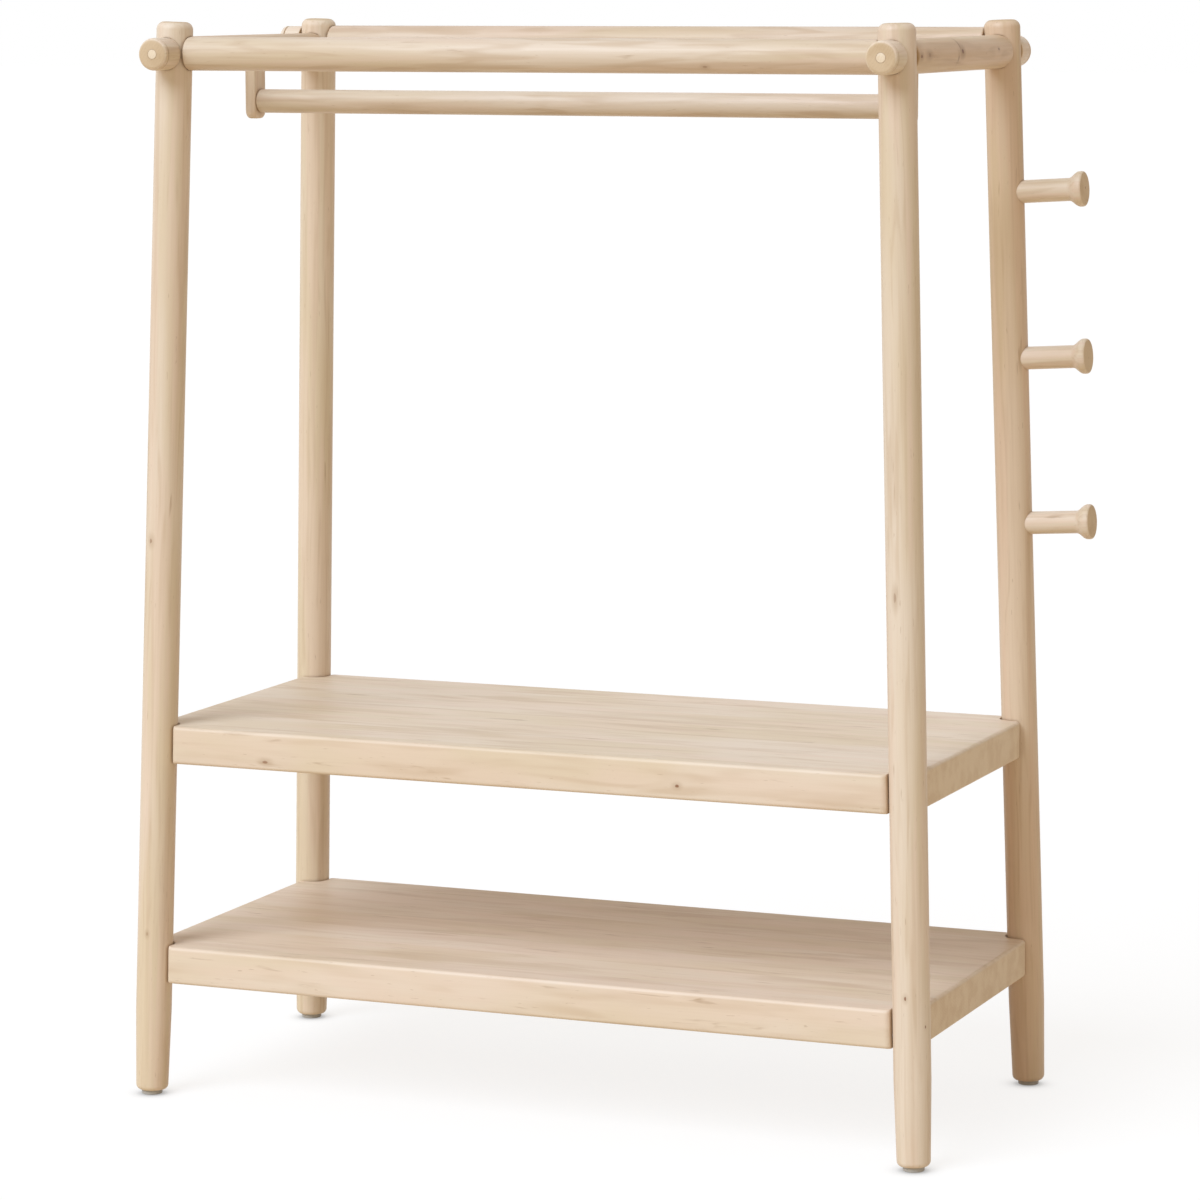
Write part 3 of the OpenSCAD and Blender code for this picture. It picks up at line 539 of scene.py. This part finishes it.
def postCuts(sx, sy):
    # the level foot, the flat seats, the tenon and bolt holes, the insert bore and the peg holes
    longZ = rack["railZ"] if sy == front else rack["rearRailZ"]
    seat, gap, past = rack["seat"], rack["gap"], rack["cutPast"]
    level = placed((postX(sx, 0), postY(sy, 0), 0), (0, 0, 1), (1, 0, 0))
    inwardX = placed((postX(sx, longZ), postY(sy, longZ), longZ), (-sx, 0, 0))
    inwardY = placed((postX(sx, rack["railZ"]), postY(sy, rack["railZ"]), rack["railZ"]), (0, -sy, 0))
    foot = placed((postX(sx, rack["footZ"]), postY(sy, rack["footZ"]), 0), (0, 0, 1), (1, 0, 0))
    railR, knobR, boltR, boreR = (post[k] for k in ("railSeatR", "knobSeatR", "boltR", "tenonR"))
    opening = [[boreR, seat], [railR, seat], [railR, past], [0, past]]
    knobSide = [[0, -past], [knobR, -past], [knobR, -seat], [boltR, -seat]]
    sideEnd, longEnd = seat - post["sideBore"], seat - post["longBore"]
    sideCut = knobSide + [[boltR, sideEnd], [boreR, sideEnd]] + opening
    longCut = [[0, longEnd], [boreR, longEnd]] + opening
    if sx == left and sy == rear:
        longCut = knobSide + [[boltR, longEnd], [boreR, longEnd]] + opening
    insertR, insertDeep, studR, deep = (post[k] for k in ("insertR", "insertDeep", "studR", "holeDeep"))
    insertCut = [[0, -2], [insertR, -2], [insertR, insertDeep], [studR, insertDeep], [studR, deep],
                 [0, deep]]
    cuts = [
        cutRod(post["footCutR"], -past, rack["footZ"], level),
        turned(longCut, inwardX, 96),
        turned(sideCut, inwardY, 96),
        turned(insertCut, foot, 64),
    ]
    for z in (rack["upperShelfZ"], rack["lowerShelfZ"]):
        boltZ = z - rack["shelfT"] + post["shelfBoltUp"]
        bolt = placed((postX(sx, boltZ), postY(sy, boltZ), boltZ), (-sx, 0, 0))
        cuts.append(cutRod(post["shelfBoltR"], -gap, deep, bolt, 48))
    if sx == right and sy == rear:
        cuts += [cutRod(peg["tenonR"] + gap, -peg["tenonPast"] - gap, deep, pegFrame(i)) for i in range(3)]
    return cuts


postNames = {
    (left, front): ("frontLeftPost", "front_left_post"),
    (right, front): ("frontRightPost", "front_right_post"),
    (left, rear): ("rearLeftPost", "rear_left_post"),
    (right, rear): ("rearRightPost", "rear_right_post"),
}
startZ = rack["footZ"] - post["footR"] * math.sin(leanAngle) - post["footAllowance"]
postProfile = np.vstack([
    [[0, startZ]],
    arc([post["footR"] - post["footRound"], startZ + post["footRound"]], post["footRound"], -90, 0, 8),
    [[post["radius"], post["taper"]]],
    [[post["radius"], z] for z in post["rings"]],
    arc([post["radius"] - post["topRound"], postLength - post["topRound"]], post["topRound"], 0, 90, 8),
    [[0, postLength]],
])
for number, ((sx, sy), (name, node)) in enumerate(postNames.items()):
    m = postFrame(sx, sy)
    mesh = carved(name, turned(postProfile, m), postCuts(sx, sy))
    finished(name, mesh, m, postWood, [node], seed=number + 1, tone=post["tones"][number])
print("posts made")


# rails: turned rods with eased ends and stub tenons

rail = {
    "radius": 17.5, "ease": 2, "tenonR": 9, "longTenon": 11, "sideTenon": 6.5, "tenonEase": 1,
    "boltR": 3.2, "boltIn": 40, "nutR": 5.1, "nutIn": 30, "nutPast": 9.1, "nutDown": 20,
    "tones": {"front_rail": (0.925, 0.915, 0.91), "rear_rail": (0.88, 0.85, 0.84)},
    "sideTone": (0.86, 0.78, 0.68),
}
seatOut = rack["seat"] + rack["gap"]    # from a post's axis to what stands on its flat seats


def railProfile(half, tenon):
    r, t, e, te = rail["radius"], rail["tenonR"], rail["ease"], rail["tenonEase"]
    return np.vstack([
        [[0, -half - tenon]],
        arc([t - te, te - half - tenon], te, -90, 0, 3),
        [[t, -half]],
        arc([r - e, e - half], e, -90, 0),
        arc([r - e, half - e], e, 0, 90),
        [[t, half]],
        arc([t - te, half + tenon - te], te, 0, 90, 3),
        [[0, half + tenon]],
    ])


def boreCuts(m):
    # the bolt hole and the barrel nut's bore of a rail, seen from the knob opposite; x points down
    span = 2 * seatOut
    nut = m @ placed((0, 0, -span - rail["nutIn"]), (1, 0, 0), (0, 0, 1))
    return [cutRod(rail["boltR"], -span - rail["boltIn"], -1, m, 48),
            cutRod(rail["nutR"], -rail["nutPast"], rail["nutDown"], nut, 48)]


def knobFrame(sx, sy):
    z = rack["railZ"]
    return placed((postX(sx, z), postY(sy, z) + sy * seatOut, z), (0, sy, 0), (0, 0, -1))


rearKnobFrame = placed((postX(left, rack["rearRailZ"]) - seatOut, postY(rear, rack["rearRailZ"]),
                        rack["rearRailZ"]), (-1, 0, 0), (0, 0, -1))

for name, node, sy, z, seed in (("frontRail", "front_rail", front, rack["railZ"], 11),
                                ("rearRail", "rear_rail", rear, rack["rearRailZ"], 12)):
    half = postX(right, z) - rack["midX"] - seatOut
    m = placed((rack["midX"], postY(sy, z), z), (1, 0, 0))
    cuts = boreCuts(rearKnobFrame) if sy == rear else []
    mesh = carved(name, turned(railProfile(half, rail["longTenon"]), m), cuts)
    finished(name, mesh, m, railWood, [node], seed=seed, tone=rail["tones"][node])

bracket = {
    "thick": 12, "halfWide": 13.5, "corner": 9, "below": 18.5, "inset": 30, "round": 2.8,
    "bossR": 12, "bossSeat": 16.5, "bossEnd": 26, "bossPlay": 0.3,
    "screwR": 3.1, "screwIn": 6.1, "headR": 5.6, "headSeat": 32,
    "hangScrewR": 2.6, "hangHeadR": 5.1, "hangCutFrom": 20, "hangHeadSeat": 24.1, "hangHeadEnd": 27.1,
}


def bracketFrame(sx, z):
    return placed((postX(sx, rack["railZ"]), rack["hangY"], z), (-sx, 0, 0), (0, 0, 1))


for name, node, sx, seed in (("leftSideRail", "left_side_rail", left, 13),
                             ("rightSideRail", "right_side_rail", right, 14)):
    half = postY(rear, rack["railZ"]) - seatOut
    m = placed((postX(sx, rack["railZ"]), 0, rack["railZ"]), (0, 1, 0))
    at = bracketFrame(sx, rack["railZ"])
    cuts = boreCuts(knobFrame(sx, front)) + boreCuts(knobFrame(sx, rear)) + [
        cutRod(bracket["bossR"] + bracket["bossPlay"], bracket["bossSeat"], rack["cutPast"], at),
        cutRod(bracket["screwR"], -bracket["screwIn"], bracket["inset"], at, 48),
    ]
    mesh = carved(name, turned(railProfile(half, rail["sideTenon"]), m), cuts)
    finished(name, mesh, m, railWood, [node], seed=seed, tone=rail["sideTone"])

hang = {"radius": 12.5, "ease": 2, "screwR": 2.6, "pilot": 39, "tone": (0.91, 0.91, 0.92)}
half = postX(right, rack["railZ"]) - rack["midX"] - (bracket["inset"] + bracket["thick"] / 2) - rack["gap"]
m = placed((rack["midX"], rack["hangY"], rack["hangZ"]), (1, 0, 0))
cuts = [cutRod(hang["screwR"], start, start + hang["pilot"] + 1, m, 32)
        for start in (-half - 1, half - hang["pilot"])]
mesh = carved("hangingRail", rod(hang["radius"], -half, half, m, hang["ease"]), cuts)
finished("hangingRail", mesh, m, railWood, ["hanging_rail"], seed=15, tone=hang["tone"])
print("rails made")


# drop brackets: a bar with a round top and rounded lower corners, and a boss against the side rail

def bracketRing(inset, height):
    # the bar's outline moved inwards by inset, at a height through its thickness; y points up
    w, c, b = bracket["halfWide"] - inset, bracket["corner"] - inset, bracket["below"] - inset
    drop = rack["railZ"] - rack["hangZ"]
    flat = np.vstack([arc([w - c, c - b], c, -90, 0, 8), arc([0, drop], w, 0, 180, 32),
                      arc([c - w, c - b], c, 180, 270, 8)])
    return np.column_stack([flat, np.full(len(flat), height)])


for name, node, sx, seed in (("leftDropBracket", "left_drop_bracket", left, 21),
                             ("rightDropBracket", "right_drop_bracket", right, 22)):
    halfThick, r = bracket["thick"] / 2, bracket["round"]
    turn = np.radians(np.linspace(0, 90, 6))
    inset = np.concatenate([r * (1 - np.sin(turn)), r * (1 - np.cos(turn))])
    height = np.concatenate([-halfThick + r * (1 - np.cos(turn)), halfThick - r * (1 - np.sin(turn))])
    rings = np.stack([bracketRing(i, h) for i, h in zip(inset, height)])
    centre = (postX(sx, rack["railZ"]) - sx * bracket["inset"], rack["hangY"], rack["hangZ"])
    bar = np.eye(4)
    bar[:3, 0], bar[:3, 1], bar[:3, 2], bar[:3, 3] = (0, 1, 0), (0, 0, 1), (1, 0, 0), centre
    top, low = bracketFrame(sx, rack["railZ"]), bracketFrame(sx, rack["hangZ"])
    boss = rod(bracket["bossR"], bracket["bossSeat"] + 0.1, bracket["bossEnd"], top, steps=64)
    past = rack["cutPast"]
    screwR, headR, headSeat = (bracket[k] for k in ("screwR", "headR", "headSeat"))
    screwCut = [[0, 0], [screwR, 0], [screwR, headSeat], [headR, headSeat], [headR, past], [0, past]]
    screwR, headR, start = bracket["hangScrewR"], bracket["hangHeadR"], bracket["hangCutFrom"]
    hangCut = [[0, start], [headR, start], [headR, bracket["hangHeadSeat"]],
               [screwR, bracket["hangHeadEnd"]], [screwR, past], [0, past]]
    cuts = [turned(screwCut, top, 64), turned(hangCut, low, 64)]
    mesh = carved(name, stacked(rings, bar), cuts, [boss])
    grain = placed(centre, (0, 0, 1), (1, 0, 0))
    finished(name, mesh, grain, knobWood, [node], seed=seed)
print("brackets made")


# knobs: turned, with a groove near the face, and bored for the bolt and its wooden plug

knob = {
    "length": 32, "rearRailLength": 24, "radius": 16.75, "round": 4.2, "seatEase": 1,
    "grooveAt": 5, "grooveWide": 1.7, "grooveDeep": 1.4, "lipWide": 0.3, "lipDeep": 0.12,
    "boltR": 3.2, "headSeatIn": 13.1, "plugBoreR": 5.1,
}
plug = {"radius": 5, "length": 7, "proud": 0.3, "ease": 0.8}


def knobProfile(length):
    r, wide, deep = knob["radius"], knob["lipWide"], knob["lipDeep"]
    headSeat = length - knob["headSeatIn"]
    grooveEnd = length - knob["grooveAt"]
    grooveStart = grooveEnd - knob["grooveWide"]
    return np.vstack([
        [[knob["boltR"], 0]],
        arc([r - knob["seatEase"], knob["seatEase"]], knob["seatEase"], -90, 0, 4),
        [[r, grooveStart - wide], [r - deep, grooveStart],
         [r - knob["grooveDeep"], (grooveStart + grooveEnd) / 2],
         [r - deep, grooveEnd], [r, grooveEnd + wide]],
        arc([r - knob["round"], length - knob["round"]], knob["round"], 0, 90, 8),
        [[knob["plugBoreR"], length], [knob["plugBoreR"], headSeat], [knob["boltR"], headSeat]],
    ])


knobs = [
    ("frontLeftKnob", "front_left_knob", knob["length"], knobFrame(left, front)),
    ("frontRightKnob", "front_right_knob", knob["length"], knobFrame(right, front)),
    ("rearLeftKnob", "rear_left_knob", knob["length"], knobFrame(left, rear)),
    ("rearRightKnob", "rear_right_knob", knob["length"], knobFrame(right, rear)),
    ("rearRailKnob", "rear_rail_knob", knob["rearRailLength"], rearKnobFrame),
]
for number, (name, node, length, m) in enumerate(knobs):
    mesh = plainMesh(name, turned(knobProfile(length), m))
    finished(name, mesh, m, knobWood, [node], seed=31 + number)
plugs = [rod(plug["radius"], length - plug["length"], length + plug["proud"], m, plug["ease"], 64)
         for _, _, length, m in knobs]
finished("knobPlugs", plainMesh("knobPlugs", together(plugs)), knobFrame(left, front), plugWood,
         ["knob_plugs"], seed=40)
print("knobs made")


# pegs: a shaft that flares to a round head, coped to the post it stands on

flareStart = peg["reach"] - peg["headLength"] - peg["flareLength"]
flareTurn = np.linspace(0, 1, 11)
pegProfile = np.vstack([
    [[0, 0], [peg["shaftR"], 0]],
    np.stack([peg["shaftR"] + (peg["headR"] - peg["shaftR"]) * (1 - np.cos(np.pi * flareTurn)) / 2,
              flareStart + peg["flareLength"] * flareTurn], 1),
    arc([peg["headR"] - peg["round"], peg["reach"] - peg["round"]], peg["round"], 0, 90, 8),
    [[0, peg["reach"]]],
])
pegNames = (("lowerPeg", "lower_peg"), ("middlePeg", "middle_peg"), ("upperPeg", "upper_peg"))
for i, (name, node) in enumerate(pegNames):
    m = pegFrame(i)
    core = rod(post["radius"] + rack["gap"], -peg["corePast"], postLength + peg["corePast"],
               postFrame(right, rear))
    coped = carved(name + "Head", turned(pegProfile, m), [core])
    points = np.zeros(len(coped.vertices) * 3)
    coped.vertices.foreach_get("co", points)
    shape = (points.reshape(-1, 3) * 1000, [list(f.vertices) for f in coped.polygons])
    bpy.data.meshes.remove(coped)
    tenon = rod(peg["tenonR"], -peg["tenonPast"], post["radius"] + peg["tenonOut"], m, peg["tenonEase"], 48)
    mesh = carved(name, shape, (), [tenon])
    finished(name, mesh, m, knobWood, [node], seed=51 + i)
print("pegs made")


# shelves: thick boards with rounded edges, and corners cut out round the leaning posts

shelf = {
    "outX": 8, "outY": 12, "round": 4, "corner": 7, "cornerLeast": 0.6, "flatRing": 1.5,
    "notch": 19.3, "notchEase": 0.8, "notchRound": 15,
    "camR": 7.6, "camH": 18.2, "camIn": 34, "boltFrom": 10, "tone": (1.005, 1.01, 1.03),
}


def shelfRing(z, top, inset, ease):
    # the board's outline at height z: inset moves the outer faces in, ease the notch faces
    halfX = postX(right, top) - rack["midX"] + shelf["outX"] - inset
    halfY = postY(rear, top) + shelf["outY"] - inset
    cutX = postX(right, z) - rack["midX"] - shelf["notch"] - ease
    cutY = postY(rear, z) - shelf["notch"] - ease
    c = max(shelf["corner"] - inset, shelf["cornerLeast"])
    n = shelf["notchRound"]
    quarter = np.vstack([
        arc([halfX - c, cutY - c], c, 0, 90, 5),
        arc([cutX + n, cutY + n], n, 270, 180, 6),
        arc([cutX - c, halfY - c], c, 0, 90, 5),
    ])
    flat = np.vstack([quarter, (quarter * [-1, 1])[::-1], quarter * [-1, -1], (quarter * [1, -1])[::-1]])
    return np.column_stack([flat[:, 0] + rack["midX"], flat[:, 1], np.full(len(flat), z)])


for name, node, top, seed in (("upperShelf", "upper_shelf", rack["upperShelfZ"], 61),
                              ("lowerShelf", "lower_shelf", rack["lowerShelfZ"], 62)):
    low, r = top - rack["shelfT"], shelf["round"]
    turn = np.radians(np.linspace(0, 90, 8))
    # one more ring on each broad face, just inside its rounded edge, keeps its shading flat
    z = np.concatenate([[low], low + r * (1 - np.cos(turn)), top - r * (1 - np.sin(turn)), [top]])
    flatRing = [r + shelf["flatRing"]]
    inset = np.concatenate([flatRing, r * (1 - np.sin(turn)), r * (1 - np.cos(turn)), flatRing])
    rings = np.stack([shelfRing(zz, top, i, shelf["notchEase"] * i / r) for zz, i in zip(z, inset)])
    boltZ, boltEnd = low + post["shelfBoltUp"], shelf["notch"] + shelf["camIn"]
    cuts = []
    for sx in (left, right):
        for sy in (front, rear):
            px, py = postX(sx, boltZ), postY(sy, boltZ)
            camX = px - sx * boltEnd
            bolt = placed((px, py, boltZ), (-sx, 0, 0))
            cam = placed((camX, py, low), (0, 0, 1), (1, 0, 0))
            cuts.append(cutRod(post["shelfBoltR"], shelf["boltFrom"], boltEnd, bolt, 48))
            cuts.append(cutRod(shelf["camR"], -1, shelf["camH"], cam, 64))
    mesh = carved(name, stacked(rings, np.eye(4)), cuts)
    grain = placed((rack["midX"], 0, top), (1, 0, 0), (0, 1, 0))
    finished(name, mesh, grain, shelfWood, [node], seed=seed, tone=shelf["tone"])
print("shelves made")


# levelling glides: a nylon disc moulded round a steel stud

glide = {"radius": 11, "height": 5, "ease": 1, "studR": 4, "studEnd": 27, "studEase": 0.8}
for name, node, sx, sy in (("frontLeftGlide", "front_left_glide", left, front),
                           ("frontRightGlide", "front_right_glide", right, front),
                           ("rearLeftGlide", "rear_left_glide", left, rear),
                           ("rearRightGlide", "rear_right_glide", right, rear)):
    m = placed((postX(sx, rack["footZ"]), postY(sy, rack["footZ"]), 0), (0, 0, 1), (1, 0, 0))
    r, e, h, studR, studEnd, studEase = (glide[k] for k in (
        "radius", "ease", "height", "studR", "studEnd", "studEase"))
    profile = np.vstack([
        [[0, 0]], arc([r - e, e], e, -90, 0, 4), arc([r - e, h - e], e, 0, 90, 4),
        [[studR, h], [studR, studEnd - studEase], [studR - studEase, studEnd], [0, studEnd]],
    ])
    mesh = plainMesh(name, turned(profile, m, 72))
    finished(name, mesh, m, glideNylon, [node], body=node, sharp=40)
print("glides made")

# the fittings inside keep their CAD meshes and only get their metal
steelNodes = ("frame_bolts", "bracket_screws", "hanging_rail_screws", "upper_shelf_bolts",
              "lower_shelf_bolts", "glide_inserts")
zincNodes = ("barrel_nuts", "upper_shelf_cams", "lower_shelf_cams")
for nodes, metal in ((steelNodes, boltSteel), (zincNodes, castZinc)):
    for node in nodes:
        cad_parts[node].data.materials.clear()
        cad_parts[node].data.materials.append(metal)


# floor, light and camera

studio = {
    "fill": 0.49, "fillTint": "#ffefdc", "key": 2.6, "keyTint": "#e2efff", "keyAngle": 38,
    "keyFrom": (-0.27, -0.7, 0.66),
    "floor": "#e8d6b8", "seenShare": 0.2, "seenWhite": 0.835, "paintedContactShadeMm": 28, "paintedContactShadeShare": 0.45,
    "floorHalf": 30, "floorBack": 20, "floorZ": -0.0004,   # metres
    "floorCells": 8,
}
cells = studio["floorCells"]
side = np.linspace(-1, 1, cells + 1) * studio["floorHalf"]
gx, gy = np.meshgrid(side, side + studio["floorBack"])
floorPoints = np.column_stack([gx.ravel(), gy.ravel(), np.full(gx.size, studio["floorZ"])])
corner = (np.arange(cells)[:, None] * (cells + 1) + np.arange(cells)).ravel()
quads = np.stack([corner, corner + 1, corner + cells + 2, corner + cells + 1], 1)
floorMesh = bpy.data.meshes.new("floor")
floorMesh.from_pydata(floorPoints.tolist(), [], quads.tolist())
floor = linkedObject("floor", floorMesh)


def seenDirectly(tree):
    # 1 for the camera's own rays and for what mirrors and glass show, 0 for the light itself
    path = addNode(tree, "ShaderNodeLightPath", out=None)
    seen = path.outputs["Is Camera Ray"]
    for kind in ("Is Glossy Ray", "Is Transmission Ray"):
        seen = addNode(tree, "ShaderNodeMath", {0: seen, 1: path.outputs[kind]}, operation="MAXIMUM")
    return seen


# matt cream paint for the light it throws back; what is seen of it is lifted to white, and keeps the rack's
# soft shadow.
# Where the glides and the rack stand close, the white lift is dimmed by ambient occlusion: a painted
# contact shadow
floorMaterial, tree = newMaterial("paintedStudioFloor")
plain = addNode(tree, "ShaderNodeBsdfDiffuse", {"Color": linear(studio["floor"])})
faint = addNode(tree, "ShaderNodeBsdfDiffuse", {"Color": (*[studio["seenShare"]] * 3, 1)})
contact = addNode(tree, "ShaderNodeAmbientOcclusion", {"Distance": studio["paintedContactShadeMm"] / 1000}, "AO")
bright = addNode(tree, "ShaderNodeMapRange", {
    "Value": contact, "From Min": 0.1, "From Max": 0.95,
    "To Min": studio["seenWhite"] * studio["paintedContactShadeShare"], "To Max": studio["seenWhite"]},
    interpolation_type="SMOOTHSTEP")
white = addNode(tree, "ShaderNodeEmission", {"Color": (1, 1, 1, 1), "Strength": bright})
lifted = addNode(tree, "ShaderNodeAddShader", {0: faint, 1: white})
both = addNode(tree, "ShaderNodeMixShader", {0: seenDirectly(tree), 1: plain, 2: lifted})
addNode(tree, "ShaderNodeOutputMaterial", {"Surface": both})
floorMesh.materials.append(floorMaterial)

world = bpy.data.worlds.new("studio")
bpy.context.scene.world = world
world.use_nodes = True
world.node_tree.nodes.clear()
tree = world.node_tree
fill = addNode(tree, "ShaderNodeBackground", {
    "Color": linear(studio["fillTint"]), "Strength": studio["fill"]})
white = addNode(tree, "ShaderNodeBackground", {"Color": (1, 1, 1, 1), "Strength": 1.0})
pick = addNode(tree, "ShaderNodeMixShader", {0: seenDirectly(tree), 1: fill, 2: white})
addNode(tree, "ShaderNodeOutputWorld", {"Surface": pick})

sun = bpy.data.lights.new("key", "SUN")
sun.energy = studio["key"]
sun.color = linear(studio["keyTint"])[:3]
sun.angle = math.radians(studio["keyAngle"])
sunObject = linkedObject("key", sun)
m = placed((0, 0, 0), studio["keyFrom"], (1, 0, 0))
sunObject.matrix_world = Matrix(m.tolist())

# the camera: focal length in pixels of the square frame, place in millimetres, angles in degrees
view = {
    "frame": 1200, "sensor": 36, "focal": 4550.1, "place": (1832.97 + rack["midX"], -4418.18, 1185.07),
    "yaw": 22.412, "pitch": 7.796, "roll": -0.13, "nearest": 0.1, "farthest": 200,
}
yaw, pitch, roll = (math.radians(view[k]) for k in ("yaw", "pitch", "roll"))
forward = np.array([-math.sin(yaw) * math.cos(pitch), math.cos(yaw) * math.cos(pitch), -math.sin(pitch)])
sideways = np.array([math.cos(yaw), math.sin(yaw), 0])
upward = np.cross(sideways, forward)
m = np.eye(4)
m[:3, 0] = sideways * math.cos(roll) + upward * math.sin(roll)
m[:3, 1] = upward * math.cos(roll) - sideways * math.sin(roll)
m[:3, 2] = -forward
m[:3, 3] = np.array(view["place"]) / 1000
camera = bpy.data.cameras.new("camera")
camera.sensor_width = view["sensor"]
camera.lens = view["sensor"] * view["focal"] / view["frame"]
camera.clip_start, camera.clip_end = view["nearest"], view["farthest"]
cameraObject = linkedObject("camera", camera)
cameraObject.matrix_world = Matrix(m.tolist())
bpy.context.scene.camera = cameraObject
bpy.context.scene.view_settings.view_transform = "Standard"

bpy.context.view_layer.update()
print("scene ready")
